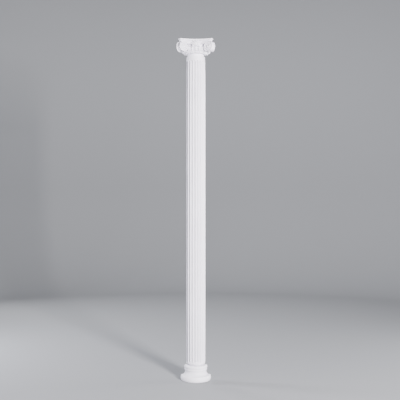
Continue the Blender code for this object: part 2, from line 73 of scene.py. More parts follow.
# Base
BASE_HEIGHT = 0.110
BASE_FOOT_RADIUS = 0.1015
BASE_BORE_RADIUS = 0.042
BASE_COLLAR_RADIUS = 0.0513
BASE_SEAT_RADIUS = 0.0715
UPPER_TORUS_RADIUS = 0.083
UPPER_TORUS_HEIGHT = 0.0235
UPPER_NOTCH_RADIUS = 0.0790
BEAD_RADIUS = 0.0812
BEAD_HEIGHT = 0.0115
SCOTIA_RADIUS = 0.0770
SCOTIA_FOOT_RADIUS = 0.1010
LOWER_TORUS_HEIGHT = 0.0385
SCOTIA_HEIGHT = 0.0250
SCOTIA_NARROW_SHARE = 0.35
NOTCH_HEIGHT = 0.0015
ROLL_DEGREES = 84

# Shaft
SHAFT_TOP_RADIUS = 0.0662
SHAFT_BOTTOM_RADIUS = 0.0675
SHAFT_BORE_RADIUS = 0.0455
SHAFT_EDGE_EASE = 0.0015
ENTASIS_POWER = 10
FLUTE_COUNT = 10
FLUTE_DEPTH = 0.0062
FLUTE_FILLET = 0.0058
FLUTE_SOFTNESS = 0.02
TOP_BAND = 0.029
BOTTOM_BAND = 0.0125

# Rows of points across half a flute, in half flute widths, close together at its edge
FLUTE_PLACES = (0.2, 0.4, 0.58, 0.73, 0.84, 0.91, 0.955, 0.985, 1.01, 1.035, 1.07, 1.14)

# Capital
CAPITAL_HEIGHT = 0.094
CAPITAL_BORE_RADIUS = 0.049
CAPITAL_COLLAR_RADIUS = 0.0584
BELL_RADIUS = 0.088
ECHINUS_RADIUS = 0.097
BOWL_FOOT_RADIUS = 0.0785
BEAD_RING_RADIUS = 0.0870
BEAD_RING_HEIGHT = 0.009
BEAD_COUNT = 30
BEAD_HALF_LENGTH = 0.0052
REEL_HALF_LENGTH = 0.0011
REEL_HALF_SPACING = 1.25 * REEL_HALF_LENGTH
REEL_HEIGHT_SHARE = 0.44

# Core of the bead ring, as shares of the ring's reach and height
BEAD_CORE_REACH = 0.55
BEAD_CORE_HALF_HEIGHT = 0.36

# Echinus: where its swell starts, and the stretch of a sine wave that it follows, in half turns
ECHINUS_FOOT_SHARE = 0.25
ECHINUS_WAVE_START = 0.08
ECHINUS_WAVE_SPAN = 0.62
ECHINUS_WAVE_FULL = 0.58

# Abacus
ABACUS_WIDTH = 0.245
ABACUS_THICKNESS = 0.019
ABACUS_FILLET = 0.008
ABACUS_UNDERCUT = 0.0085
ABACUS_GROOVE = 0.0092
ABACUS_OVOLO = 0.0052
ABACUS_HOLLOW = 0.0215
ABACUS_CORNER_CUT = 0.014

# Levels below the fillet of the abacus, as shares of what is left of its thickness
GROOVE_TOP_SHARE = 0.04
GROOVE_BOTTOM_SHARE = 0.30
OVOLO_TOP_SHARE = 0.36
OVOLO_SPAN_SHARE = 0.60

# Channel between the volutes, under the abacus
CHANNEL_PLANE = 0.095
CHANNEL_HEIGHT = 0.015
CHANNEL_RIM_SHARE = 0.6
CHANNEL_EDGE_SINK = 0.4
CHANNEL_LIP_STEP = 0.0005

# Corner volutes
VOLUTE_RADIUS = 0.039
VOLUTE_PITCH = 0.0105
VOLUTE_START = math.radians(60)
VOLUTE_SPLAY = math.radians(31)
VOLUTE_EYE_OFFSET = 0.082
VOLUTE_EYE_DROP = 0.056
VOLUTE_EYE_RADIUS = 0.0075
VOLUTE_EYE_RISE = 0.003
VOLUTE_EYE_SEAT = 0.0006
VOLUTE_EYE_MARGIN = 0.0012
VOLUTE_EYE_SINK_SHARE = 0.7
VOLUTE_CROWN = 0.0018
VOLUTE_FILLET = 0.0034
VOLUTE_FILLET_ROUNDING = 0.0007
VOLUTE_SINK = 0.0060
VOLUTE_ROOT = 0.046

# Band between the two scrolls of a volute: how far it sinks, and places as shares of its length
BOLSTER_SINK = 0.0050
BOLSTER_EDGE_SINK_SHARE = 0.55
BOLSTER_RIM_SHARE = 0.07
BOLSTER_STEP_SHARE = 0.05
BOLSTER_BEAD_RISE = 0.0022
BOLSTER_BEAD_SHARE = 0.055

# Egg-and-dart, counted round a whole column
EGG_COUNT = 24
EGG_PLACES = (-6, -5, -1, 0, 1, 5, 6)
DART_PLACES = (-5.5, -1.5, -0.5, 0.5, 1.5, 5.5)
EGG_DROP = 0.0665
EGG_HALF_WIDTH = 0.0086
EGG_HALF_HEIGHT = 0.0175
EGG_HALF_DEPTH = 0.0110
EGG_SETBACK = 0.0030
EGG_TILT = math.radians(11)
EGG_TAPER = 0.10
SHELL_GAP = 0.0022
SHELL_END_GAP = 0.6 * SHELL_GAP
SHELL_RADIUS = 0.0013
SHELL_LIFT = 0.0004
DART_HALF_WIDTH = 0.0021
DART_HALF_HEIGHT = 0.0150
DART_HALF_DEPTH = 0.0050
DART_SETBACK = 0.001
DART_TAPER = -0.25
DART_SIDES = 4

# Flower on the middle of each side of the abacus
FLOWER_WIDTH = 0.066
FLOWER_HEIGHT = 0.0452
FLOWER_TIP_DROP = 0.0013
FLOWER_PLANE = 0.100
FLOWER_RELIEF = 0.0085
FLOWER_ROOT = 0.032
FLOWER_PETALS = 9
BUD_RADIUS = 0.0048

# Leaf between each volute and the eggs
LEAF_WIDTH = 0.031
LEAF_HEIGHT = 0.034
LEAF_ANGLE = math.radians(30)
LEAF_DROP = 0.066
LEAF_LEAN = math.radians(55)
LEAF_PLANE = 0.0975
LEAF_RELIEF = 0.0090
LEAF_ROOT = 0.024
LEAF_PETALS = 7

# Form of a flower or leaf, as shares of its height, of its relief or of a petal's size
PALMETTE_HEART = 0.30
PALMETTE_HEART_LIFT = 0.4
PETAL_START = 0.12
PETAL_POINT = 0.30
PETAL_ROOT_LIFT = 0.35
PETAL_EDGE_LIFT = 0.18
PETAL_LEAST_LIFT = 0.05
PETAL_TIP_DROP = 0.75
GROOVE_DEPTH = 0.16
GROOVE_WIDTH = 0.06
INNER_PETAL_PLACE = 0.132
INNER_PETAL_LIFT = 0.62
INNER_PETAL_HALF_WIDTH = 0.075
INNER_PETAL_HALF_DEPTH = 0.42
INNER_PETAL_HALF_LENGTH = 0.13

# Fineness
TURNED_SEGMENTS = 180
VOLUTE_SEGMENTS = 180
VOLUTE_RINGS = 64
BOLSTER_STEPS = 44
ABACUS_ARC_STEPS = 48
SHAFT_EDGE_STEPS = 5
FLUTE_END_STEPS = 30
FLUTE_END_LEAD = 3
SHAFT_STEPS = 40
ECHINUS_STEPS = 24
CHANNEL_STEPS = 40
SHELL_STEPS = 64
PETAL_COLUMNS = 18
PETAL_ROWS = 18
CARVING_VOXEL = 0.00085
CARVING_TRIANGLES = 190000

# Photograph: pixels, and metres to a pixel in the wall plane, taken by a level camera
PHOTO_SIZE = 400
PHOTO_SCALE = 0.007217
PHOTO_CENTER_X = 195.8
PHOTO_EYE_LEVEL_Y = 210.2
CAMERA_DISTANCE = 4.70
CAMERA_HEIGHT = 1.220
SENSOR_WIDTH = 36.0

# Studio
STUDIO_RADIUS = 6.5
STUDIO_HEIGHT = 8.0
STUDIO_SEGMENTS = 128
BACKDROP_BEND = 1.6
BACKDROP_STEPS = 24
FLOOR_GAP = 0.0004

# Angles, and how far and by how many points a form reaches past the wall before it is cut there
HALF_TURN = math.pi
FULL_TURN = 2 * math.pi
WALL_OVERRUN = math.radians(6)
ABACUS_OVERRUN = 2
CHANNEL_OVERRUN = 3

CAPITAL_BOTTOM = COLUMN_TOP - CAPITAL_HEIGHT


def finish_mesh(bm, name):
    """Weld, face outwards, move back to the model's wall and shade smooth between the creases."""
    bmesh.ops.remove_doubles(bm, verts=bm.verts, dist=WELD_DISTANCE)
    bmesh.ops.recalc_face_normals(bm, faces=bm.faces)
    bmesh.ops.translate(bm, vec=(0, WALL_Y, 0), verts=bm.verts)
    mesh = bpy.data.meshes.new(name)
    bm.to_mesh(mesh)
    bm.free()
    mesh.shade_smooth()
    mesh.set_sharp_from_angle(angle=CREASE_ANGLE)
    return mesh


def add_piece(bm, name, node, material):
    """A fixed piece of the column that takes the place of one of the model's solids."""
    piece = bpy.data.objects.new(name, finish_mesh(bm, name))
    piece.data.materials.append(material)
    bpy.context.scene.collection.objects.link(piece)
    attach(piece, "root")
    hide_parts(node)


def bridge_rows(bm, rows, closed):
    """Quads between neighbouring rows of vertices; a closed row also joins its last to its first."""
    for near, far in zip(rows, rows[1:]):
        count = len(near)
        for i in range(count if closed else count - 1):
            j = (i + 1) % count
            bm.faces.new((near[i], near[j], far[j], far[i]))


def cap_ring(bm, ring, center):
    """A fan from one vertex to a closed ring."""
    for i, corner in enumerate(ring):
        bm.faces.new((center, corner, ring[(i + 1) % len(ring)]))


def turned_point(radius, angle, z):
    """A point round the axis, where angle 0 is the front and a quarter turn is the wall."""
    return Vector((radius * math.sin(angle), -radius * math.cos(angle), z))


def half_turn(bm, profile, segments, overrun=0.0):
    """Turn a closed outline of (radius, z) points through a half, and by overrun past the wall."""
    rows = []
    for i in range(segments + 1):
        angle = (HALF_TURN + 2 * overrun) * (i / segments - 0.5)
        row = []
        for radius, z in profile:
            point = turned_point(radius, angle, z)
            if i in (0, segments) and not overrun:
                point.y = 0.0
            row.append(bm.verts.new(point))
        rows.append(row)
    bridge_rows(bm, rows, closed=True)
    bm.faces.new(rows[0])
    bm.faces.new(list(reversed(rows[-1])))


def arc(center, radii, start, end, steps):
    """Points of an elliptic arc in the (radius, z) plane, from start to end in degrees."""
    points = []
    for i in range(steps + 1):
        angle = math.radians(start + (end - start) * i / steps)
        points.append((center[0] + radii[0] * math.cos(angle), center[1] + radii[1] * math.sin(angle)))
    return points


def eased(profile, ease=EDGE_EASE, crease=math.radians(28), steps=4):
    """Round each sharp corner of a closed outline, by no more than a third of its shorter side."""
    rounded = []
    count = len(profile)
    for i in range(count):
        before = Vector(profile[i - 1])
        corner = Vector(profile[i])
        after = Vector(profile[(i + 1) % count])
        into = corner - before
        out = after - corner
        if into.length < 1e-6 or out.length < 1e-6 or into.angle(out) < crease:
            rounded.append(tuple(corner))
            continue
        reach = min(ease, into.length / 3, out.length / 3)
        start = corner - into.normalized() * reach
        end = corner + out.normalized() * reach
        for k in range(steps + 1):
            t = k / steps
            rounded.append(tuple(start * (1 - t) ** 2 + corner * 2 * t * (1 - t) + end * t * t))
    return rounded


def base_profile():
    """Outline of the base from its collar down its face and up its bore."""
    upper_bottom = BASE_HEIGHT - UPPER_TORUS_HEIGHT
    bead_top = upper_bottom - NOTCH_HEIGHT
    bead_bottom = bead_top - BEAD_HEIGHT
    scotia_top = bead_bottom - NOTCH_HEIGHT
    lower_mid = LOWER_TORUS_HEIGHT / 2
    upper_mid = BASE_HEIGHT - UPPER_TORUS_HEIGHT / 2
    bead_mid = (bead_top + bead_bottom) / 2
    narrow = scotia_top - SCOTIA_HEIGHT * SCOTIA_NARROW_SHARE
    points = [
        (BASE_BORE_RADIUS, COLLAR_TOP),
        (BASE_COLLAR_RADIUS, COLLAR_TOP),
        (BASE_COLLAR_RADIUS, BASE_HEIGHT),
        (BASE_SEAT_RADIUS, BASE_HEIGHT),
    ]
    upper_reach = UPPER_TORUS_RADIUS - UPPER_NOTCH_RADIUS
    seat_reach = UPPER_TORUS_RADIUS - BASE_SEAT_RADIUS
    half = UPPER_TORUS_HEIGHT / 2
    points += arc((BASE_SEAT_RADIUS, upper_mid), (seat_reach, half), ROLL_DEGREES, 0, 20)
    points += arc((UPPER_NOTCH_RADIUS, upper_mid), (upper_reach, half), -8, -90, 14)
    points.append((UPPER_NOTCH_RADIUS, bead_top))
    bead_reach = BEAD_RADIUS - UPPER_NOTCH_RADIUS
    bead_radii = (bead_reach, BEAD_HEIGHT / 2)
    points += arc((UPPER_NOTCH_RADIUS, bead_mid), bead_radii, ROLL_DEGREES, -ROLL_DEGREES, 16)
    points.append((UPPER_NOTCH_RADIUS, bead_bottom))
    points.append((UPPER_NOTCH_RADIUS, scotia_top))
    lip = UPPER_NOTCH_RADIUS - SCOTIA_RADIUS
    points += arc((UPPER_NOTCH_RADIUS, narrow), (lip, scotia_top - narrow), 100, 180, 8)
    flare = SCOTIA_FOOT_RADIUS - SCOTIA_RADIUS
    drop = narrow - LOWER_TORUS_HEIGHT
    points += arc((SCOTIA_FOOT_RADIUS, narrow), (flare, drop), 184, 266, 24)
    points.append((SCOTIA_FOOT_RADIUS, LOWER_TORUS_HEIGHT))
    lower_reach = BASE_WIDTH / 2 - BASE_FOOT_RADIUS
    lower_radii = (lower_reach, lower_mid)
    points += arc((BASE_FOOT_RADIUS, lower_mid), lower_radii, ROLL_DEGREES, -ROLL_DEGREES, 32)
    points.append((BASE_FOOT_RADIUS, 0.0))
    points.append((BASE_BORE_RADIUS, 0.0))
    return points


def shaft_radius(z):
    """Radius of the shaft between the flutes, which draws in towards its ends."""
    along = 2 * (z - SHAFT_BOTTOM) / SHAFT_LENGTH - 1
    end = SHAFT_TOP_RADIUS if along > 0 else SHAFT_BOTTOM_RADIUS
    return SHAFT_RADIUS - (SHAFT_RADIUS - end) * abs(along) ** ENTASIS_POWER


def flute_offsets():
    """Places across a pitch and at its edge, in half flute widths, and the angle of half a flute."""
    half_pitch = HALF_TURN / FLUTE_COUNT / 2
    half_flute = half_pitch - FLUTE_FILLET / SHAFT_RADIUS / 2
    edge = half_pitch / half_flute
    offsets = [-s for s in reversed(FLUTE_PLACES)] + [0.0] + list(FLUTE_PLACES)
    return offsets, edge, half_flute


def flute_ends():
    """Half the width of a flute, and the two levels where its round ends begin."""
    _, _, half_flute = flute_offsets()
    half_width = half_flute * SHAFT_RADIUS
    return half_width, SHAFT_BOTTOM + BOTTOM_BAND + half_width, SHAFT_TOP - TOP_BAND - half_width


def shaft_levels():
    """Heights of the rows up the shaft, close together at its edges and at the flutes' ends."""
    half_width, low, high = flute_ends()
    levels = []
    for i in range(SHAFT_EDGE_STEPS + 1):
        rise = SHAFT_EDGE_EASE * (1 - math.cos(math.radians(90 * i / SHAFT_EDGE_STEPS)))
        levels.append(SHAFT_BOTTOM + rise)
        levels.append(SHAFT_TOP - rise)
    for i in range(-FLUTE_END_LEAD, FLUTE_END_STEPS + 1):
        angle = math.radians(90 * i / FLUTE_END_STEPS)
        rise = half_width * (1 - math.cos(angle)) * (1 if i > 0 else -1)
        levels.append(SHAFT_BOTTOM + BOTTOM_BAND + rise)
        levels.append(SHAFT_TOP - TOP_BAND - rise)
    levels += [low + (high - low) * i / SHAFT_STEPS for i in range(1, SHAFT_STEPS)]
    return sorted(set(round(z, 6) for z in levels))


def soft_step(value):
    """A ramp that rises from nothing, eased where a flute's hollow meets the plain surface."""
    return (value + math.sqrt(value * value + FLUTE_SOFTNESS**2)) / 2


def shaft_columns():
    """Columns round the shaft, each as its angle and its place in half flute widths."""
    offsets, edge, half_flute = flute_offsets()
    columns = [(-HALF_TURN / 2, edge)]
    for flute in range(FLUTE_COUNT):
        middle = HALF_TURN * ((flute + 0.5) / FLUTE_COUNT - 0.5)
        columns += [(middle + s * half_flute, s) for s in offsets]
        columns.append((middle + HALF_TURN / FLUTE_COUNT / 2, edge))
    return columns


def shaft_face(columns):
    """Rings of (angle, radius, z) up the fluted face, drawn in at the shaft's two edges."""
    half_width, low, high = flute_ends()
    edge = columns[0][1]
    still = soft_step(1 - edge * edge)
    rings = []
    for z in shaft_levels():
        past = max(0.0, low - z, z - high) / half_width
        from_bottom = (z - SHAFT_BOTTOM) / SHAFT_EDGE_EASE
        from_top = (SHAFT_TOP - z) / SHAFT_EDGE_EASE
        from_edge = max(0.0, min(1.0, from_bottom, from_top))
        curl = SHAFT_EDGE_EASE * (1 - math.sqrt(1 - (1 - from_edge) ** 2))
        ring = []
        for angle, s in columns:
            cut = FLUTE_DEPTH * max(0.0, soft_step(1 - s * s - past * past) - still)
            ring.append((angle, shaft_radius(z) - cut - curl, z))
        rings.append(ring)
    return rings


def build_shaft(material):
    """The fluted half shell, with a shallow socket for a collar in each end."""
    bm = bmesh.new()
    columns = shaft_columns()
    rings = shaft_face(columns)
    inside = [
        (CAPITAL_COLLAR_RADIUS + SOCKET_CLEARANCE, SHAFT_TOP),
        (CAPITAL_COLLAR_RADIUS + SOCKET_CLEARANCE, SHAFT_TOP - SOCKET_DEPTH),
        (SHAFT_BORE_RADIUS, SHAFT_TOP - SOCKET_DEPTH),
        (SHAFT_BORE_RADIUS, SHAFT_BOTTOM + SOCKET_DEPTH),
        (BASE_COLLAR_RADIUS + SOCKET_CLEARANCE, SHAFT_BOTTOM + SOCKET_DEPTH),
        (BASE_COLLAR_RADIUS + SOCKET_CLEARANCE, SHAFT_BOTTOM),
    ]
    for radius, z in inside:
        rings.append([(angle, radius, z) for angle, _ in columns])
    rows = []
    for ring in rings:
        row = []
        for i, (angle, radius, z) in enumerate(ring):
            point = turned_point(radius, angle, z)
            if i in (0, len(ring) - 1):
                point.y = 0.0
            row.append(bm.verts.new(point))
        rows.append(row)
    bridge_rows(bm, rows + [rows[0]], closed=False)
    bm.faces.new([row[0] for row in rows])
    bm.faces.new([row[-1] for row in reversed(rows)])
    add_piece(bm, "fluted_shaft", "shaft", material)


def build_base(material):
    """The turned half shell of the base, with its edges eased."""
    bm = bmesh.new()
    half_turn(bm, eased(base_profile()), TURNED_SEGMENTS)
    add_piece(bm, "turned_base", "base", material)


def echinus_levels():
    """Levels of the echinus's foot, on the bead ring, and of its top, as high as an egg."""
    ring_top = CAPITAL_BOTTOM + BEAD_RING_HEIGHT
    return ring_top, ring_top + EGG_HALF_HEIGHT * 2


def echinus_radius(z):
    """Radius of the plain echinus behind the eggs."""
    ring_top, echinus_top = echinus_levels()
    share = min(1.0, max(0.0, (z - ring_top) / (echinus_top - ring_top)))
    foot = BOWL_FOOT_RADIUS + ECHINUS_FOOT_SHARE * (ECHINUS_RADIUS - BOWL_FOOT_RADIUS)
    full = math.sin(HALF_TURN * ECHINUS_WAVE_FULL)
    swell = math.sin(HALF_TURN * (ECHINUS_WAVE_START + ECHINUS_WAVE_SPAN * share)) / full
    foot_swell = math.sin(HALF_TURN * ECHINUS_WAVE_START) / full
    return foot + (ECHINUS_RADIUS - foot) * (min(1.0, swell) - foot_swell) / (1 - foot_swell)


def add_bell(bm):
    """Bell, echinus and collar, drawn down the face and up the bore."""
    ceiling = COLUMN_TOP - ABACUS_THICKNESS - CHANNEL_HEIGHT / 2
    bell_top = COLUMN_TOP - ABACUS_THICKNESS / 2
    ring_top, echinus_top = echinus_levels()
    ring_mid = (CAPITAL_BOTTOM + ring_top) / 2
    points = [(0.0, ceiling), (0.0, bell_top), (BELL_RADIUS, bell_top), (BELL_RADIUS, echinus_top)]
    for i in range(ECHINUS_STEPS, -1, -1):
        z = ring_top + (echinus_top - ring_top) * i / ECHINUS_STEPS
        points.append((echinus_radius(z), z))
    reach = BEAD_CORE_REACH * (BEAD_RING_RADIUS - BOWL_FOOT_RADIUS)
    half_height = BEAD_CORE_HALF_HEIGHT * BEAD_RING_HEIGHT
    points += arc((BOWL_FOOT_RADIUS, ring_mid), (reach, half_height), 80, -80, 12)
    points.append((BOWL_FOOT_RADIUS, CAPITAL_BOTTOM))
    points.append((CAPITAL_COLLAR_RADIUS, CAPITAL_BOTTOM))
    points.append((CAPITAL_COLLAR_RADIUS, COLLAR_BOTTOM))
    points.append((CAPITAL_BORE_RADIUS, COLLAR_BOTTOM))
    points.append((CAPITAL_BORE_RADIUS, ceiling))
    half_turn(bm, points, TURNED_SEGMENTS, WALL_OVERRUN)


def add_swept_plan(bm, levels, plan):
    """A solid whose outline at each (z, inset) level is plan(inset)."""
    rows = [[bm.verts.new((x, y, z)) for x, y in plan(inset)] for z, inset in levels]
    bridge_rows(bm, rows, closed=True)
    bm.faces.new(rows[0])
    bm.faces.new(list(reversed(rows[-1])))


def all_sides(front, overrun):
    """The front points (x, y) and their mirrors in the diagonals, to overrun points past the wall."""
    keep = len(front) // 2 + 1 + overrun
    left = [(y, x) for x, y in reversed(front[:keep])]
    right = [(-x, y) for x, y in reversed(left)]
    return left + front + right


def abacus_plan(inset):
    """Plan of the abacus drawn in by inset: hollow sides and cut corners."""
    reach = ABACUS_WIDTH / 2 - inset
    corner = reach - (ABACUS_CORNER_CUT - inset * (2 - math.sqrt(2)))
    front = []
    for i in range(ABACUS_ARC_STEPS + 1):
        along = 2 * i / ABACUS_ARC_STEPS - 1
        front.append((along * corner, -(reach - ABACUS_HOLLOW * (1 - along * along))))
    return all_sides(front, ABACUS_OVERRUN)


def add_abacus(bm):
    """The abacus: a plain fillet, a groove, and an ovolo that draws in below."""
    shoulder = COLUMN_TOP - ABACUS_FILLET
    underside = COLUMN_TOP - ABACUS_THICKNESS
    lower = shoulder - underside
    levels = [
        (COLUMN_TOP, EDGE_EASE),
        (COLUMN_TOP - EDGE_EASE, 0.0),
        (shoulder + EDGE_EASE, 0.0),
        (shoulder, EDGE_EASE),
        (shoulder - GROOVE_TOP_SHARE * lower, ABACUS_GROOVE),
        (shoulder - GROOVE_BOTTOM_SHARE * lower, ABACUS_GROOVE),
    ]
    for degrees in range(0, 90, 10):
        angle = math.radians(degrees)
        inset = ABACUS_OVOLO + (ABACUS_UNDERCUT - ABACUS_OVOLO) * (1 - math.cos(angle))
        drop = OVOLO_TOP_SHARE + OVOLO_SPAN_SHARE * math.sin(angle)
        levels.append((shoulder - drop * lower, inset))
    levels.append((underside, ABACUS_UNDERCUT))
    add_swept_plan(bm, levels, abacus_plan)


def spiral_radius(turn):
    """Reach of a scroll's rim, which draws in by the pitch over a whole turn."""
    return VOLUTE_RADIUS - VOLUTE_PITCH * turn


def volute_eye():
    """The eye of the left volute's front scroll, set so that its rim reaches the full depth."""
    turns = [i / VOLUTE_SEGMENTS for i in range(VOLUTE_SEGMENTS + 1)]
    reach = max(-spiral_radius(t) * math.cos(VOLUTE_START + FULL_TURN * t) for t in turns)
    depth = CAPITAL_WIDTH / 2 - reach * math.sin(VOLUTE_SPLAY)
    return Vector((-VOLUTE_EYE_OFFSET, -depth, COLUMN_TOP - VOLUTE_EYE_DROP))


def add_channel(bm):
    """A band that curves from scroll to scroll on each side, with a raised rim below."""
    eye = volute_eye()
    spread = (-eye.y - CHANNEL_PLANE) / eye.x**2
    top = COLUMN_TOP - ABACUS_THICKNESS + VOLUTE_FILLET / 2
    bottom = COLUMN_TOP - ABACUS_THICKNESS - CHANNEL_HEIGHT

    def plan(sink):
        front = []
        for i in range(CHANNEL_STEPS + 1):
            x = eye.x * (1 - 2 * i / CHANNEL_STEPS)
            front.append((x, -(CHANNEL_PLANE - sink + spread * x * x)))
        return all_sides(front, CHANNEL_OVERRUN)

    bed = top - CHANNEL_RIM_SHARE * VOLUTE_FILLET
    levels = [(top, 0.0), (bed, CHANNEL_EDGE_SINK * VOLUTE_SINK)]
    lip = bottom + VOLUTE_FILLET
    for i in range(9):
        share = i / 8
        hollow = math.sin(HALF_TURN * share) ** 0.7
        sink = VOLUTE_SINK * (CHANNEL_EDGE_SINK + (1 - CHANNEL_EDGE_SINK) * hollow) * (1 - share**6)
        levels.append((bed + (lip - bed) * share, sink))
    levels += [(lip - CHANNEL_LIP_STEP, 0.0), (bottom + EDGE_EASE, 0.0), (bottom, EDGE_EASE)]
    add_swept_plan(bm, levels, plan)


def scroll_rise(radius, turn):
    """Relief of a scroll: a raised rim that winds inwards, a hollow beside it, and a domed eye."""
    if radius < VOLUTE_EYE_RADIUS:
        share = radius / VOLUTE_EYE_RADIUS
        return VOLUTE_EYE_RISE * math.sqrt(1 - share * share) - VOLUTE_EYE_SEAT
    across = ((VOLUTE_RADIUS - radius) / VOLUTE_PITCH - turn) % 1.0
    crown = VOLUTE_CROWN * (1 - radius / VOLUTE_RADIUS)
    rim = VOLUTE_FILLET / VOLUTE_PITCH
    if radius < VOLUTE_EYE_RADIUS + VOLUTE_EYE_MARGIN:
        return crown - VOLUTE_SINK * VOLUTE_EYE_SINK_SHARE
    if across < rim:
        from_middle = abs(2 * across / rim - 1)
        return crown - VOLUTE_FILLET_ROUNDING * from_middle**4
    hollow = (across - rim) / (1 - rim)
    return crown - VOLUTE_SINK * math.sin(HALF_TURN * hollow) ** 0.65


def bolster_sink(share):
    """How far the band between two scrolls sinks: flush rims, a hollow, and a bead in the middle."""
    from_end = min(share, 1 - share)
    step = min(1.0, max(0.0, (from_end - BOLSTER_RIM_SHARE) / BOLSTER_STEP_SHARE))
    waist = BOLSTER_EDGE_SINK_SHARE + (1 - BOLSTER_EDGE_SINK_SHARE) * math.sin(HALF_TURN * share)
    bead = BOLSTER_BEAD_RISE * math.sqrt(max(0.0, 1 - ((share - 0.5) / BOLSTER_BEAD_SHARE) ** 2))
    return BOLSTER_SINK * step * waist - bead


def add_volute(bm, side):
    """A corner volute: one scroll faces the front, its mirror in the diagonal faces the side."""
    inward = Vector((math.cos(VOLUTE_SPLAY), math.sin(VOLUTE_SPLAY), 0))
    outward = Vector((math.sin(VOLUTE_SPLAY), -math.cos(VOLUTE_SPLAY), 0))
    diagonal = Vector((1, 1, 0)).normalized()
    eye = volute_eye()

    def spot(radius, i, rise):
        angle = VOLUTE_START + FULL_TURN * i / VOLUTE_SEGMENTS
        upward = Vector((0, 0, radius * math.sin(angle)))
        return eye + inward * radius * math.cos(angle) + upward + outward * rise

    def mirrored(point):
        return Vector((point.y, point.x, point.z))

    def vertex(point):
        return bm.verts.new((point.x * side, point.y, point.z))

    outline = [spiral_radius(i / VOLUTE_SEGMENTS) for i in range(VOLUTE_SEGMENTS)]
    face = []
    for j in range(1, VOLUTE_RINGS + 1):
        ring = []
        for i, reach in enumerate(outline):
            radius = reach * j / VOLUTE_RINGS
            ring.append(spot(radius, i, scroll_rise(radius, i / VOLUTE_SEGMENTS)))
        face.append(ring)
    rows = [[vertex(point) for point in ring] for ring in face]
    edge = face[-1]
    for k in range(1, BOLSTER_STEPS):
        share = k / BOLSTER_STEPS
        swell = 4 * share * (1 - share)
        center = eye.lerp(mirrored(eye), share)
        row = []
        for point in edge:
            between = point.lerp(mirrored(point), share)
            between -= (between - center).normalized() * bolster_sink(share)
            towards_axis = max(0.0, (point - eye).dot(inward)) / VOLUTE_RADIUS
            between += diagonal * VOLUTE_ROOT * swell * towards_axis
            row.append(vertex(between))
        rows.append(row)
    rows += [[vertex(mirrored(point)) for point in ring] for ring in reversed(face)]
    bridge_rows(bm, rows, closed=True)
    eye_front = spot(0.0, 0, scroll_rise(0.0, 0))
    cap_ring(bm, rows[0], vertex(eye_front))
    cap_ring(bm, rows[-1], vertex(mirrored(eye_front)))


def add_ellipsoid(bm, matrix, segments=16, rings=12, taper=0.0):
    """A unit sphere put through a matrix; taper narrows or widens its upper end."""
    rows = []
    for j in range(1, rings):
        bearing = HALF_TURN * j / rings
        level = math.cos(bearing)
        reach = math.sin(bearing) * (1 + taper * level)
        row = []
        for i in range(segments):
            angle = FULL_TURN * i / segments
            point = Vector((reach * math.cos(angle), reach * math.sin(angle), level))
            row.append(bm.verts.new(matrix @ point))
        rows.append(row)
    bridge_rows(bm, rows, closed=True)
    cap_ring(bm, rows[0], bm.verts.new(matrix @ Vector((0, 0, 1))))
    cap_ring(bm, rows[-1], bm.verts.new(matrix @ Vector((0, 0, -1))))


def add_sphere(bm, center, half_sizes, turn, tilt, segments=32, rings=24, taper=0.0):
    """An ellipsoid that faces out at the given angle round the axis."""
    width, depth, height = half_sizes
    matrix = (
        Matrix.Translation(center)
        @ Matrix.Rotation(turn, 4, "Z")
        @ Matrix.Rotation(tilt, 4, "X")
        @ Matrix.Diagonal((width, depth, height, 1))
    )
    add_ellipsoid(bm, matrix, segments, rings, taper)


def add_tube(bm, path, radius, sides=10):
    """A closed tube along a looped path of (point, outward direction) pairs."""
    rows = []
    count = len(path)
    for i, (point, outward) in enumerate(path):
        ahead = (path[(i + 1) % count][0] - path[i - 1][0]).normalized()
        across = ahead.cross(outward).normalized()
        row = []
        for k in range(sides):
            angle = FULL_TURN * k / sides
            aside = outward * math.cos(angle) + across * math.sin(angle)
            row.append(bm.verts.new(point + aside * radius))
        rows.append(row)
    bridge_rows(bm, rows + [rows[0]], closed=True)


def shell_path(turn, middle):
    """The loop round the egg at an angle round the axis, along the face of the echinus."""
    path = []
    for i in range(SHELL_STEPS):
        angle = FULL_TURN * i / SHELL_STEPS
        level = middle + (EGG_HALF_HEIGHT + SHELL_END_GAP) * math.cos(angle)
        swing = (EGG_HALF_WIDTH + SHELL_GAP) * math.sin(angle) * (1 + EGG_TAPER * math.cos(angle))
        outward = turned_point(1.0, turn + swing / ECHINUS_RADIUS, 0)
        path.append((outward * (echinus_radius(level) + SHELL_LIFT) + Vector((0, 0, level)), outward))
    return path


def add_eggs(bm):
    """Eggs in their shells, with darts between them, clear of the volutes."""
    pitch = FULL_TURN / EGG_COUNT
    z = COLUMN_TOP - EGG_DROP
    egg = (EGG_HALF_WIDTH, EGG_HALF_DEPTH, EGG_HALF_HEIGHT)
    dart = (DART_HALF_WIDTH, DART_HALF_DEPTH, DART_HALF_HEIGHT)
    for place in EGG_PLACES:
        turn = place * pitch
        center = turned_point(ECHINUS_RADIUS - EGG_SETBACK, turn, z)
        add_sphere(bm, center, egg, turn, EGG_TILT, taper=EGG_TAPER)
        add_tube(bm, shell_path(turn, z), SHELL_RADIUS)
    for place in DART_PLACES:
        turn = place * pitch
        center = turned_point(ECHINUS_RADIUS - DART_SETBACK, turn, z)
        add_sphere(bm, center, dart, turn, EGG_TILT, segments=DART_SIDES, taper=DART_TAPER)


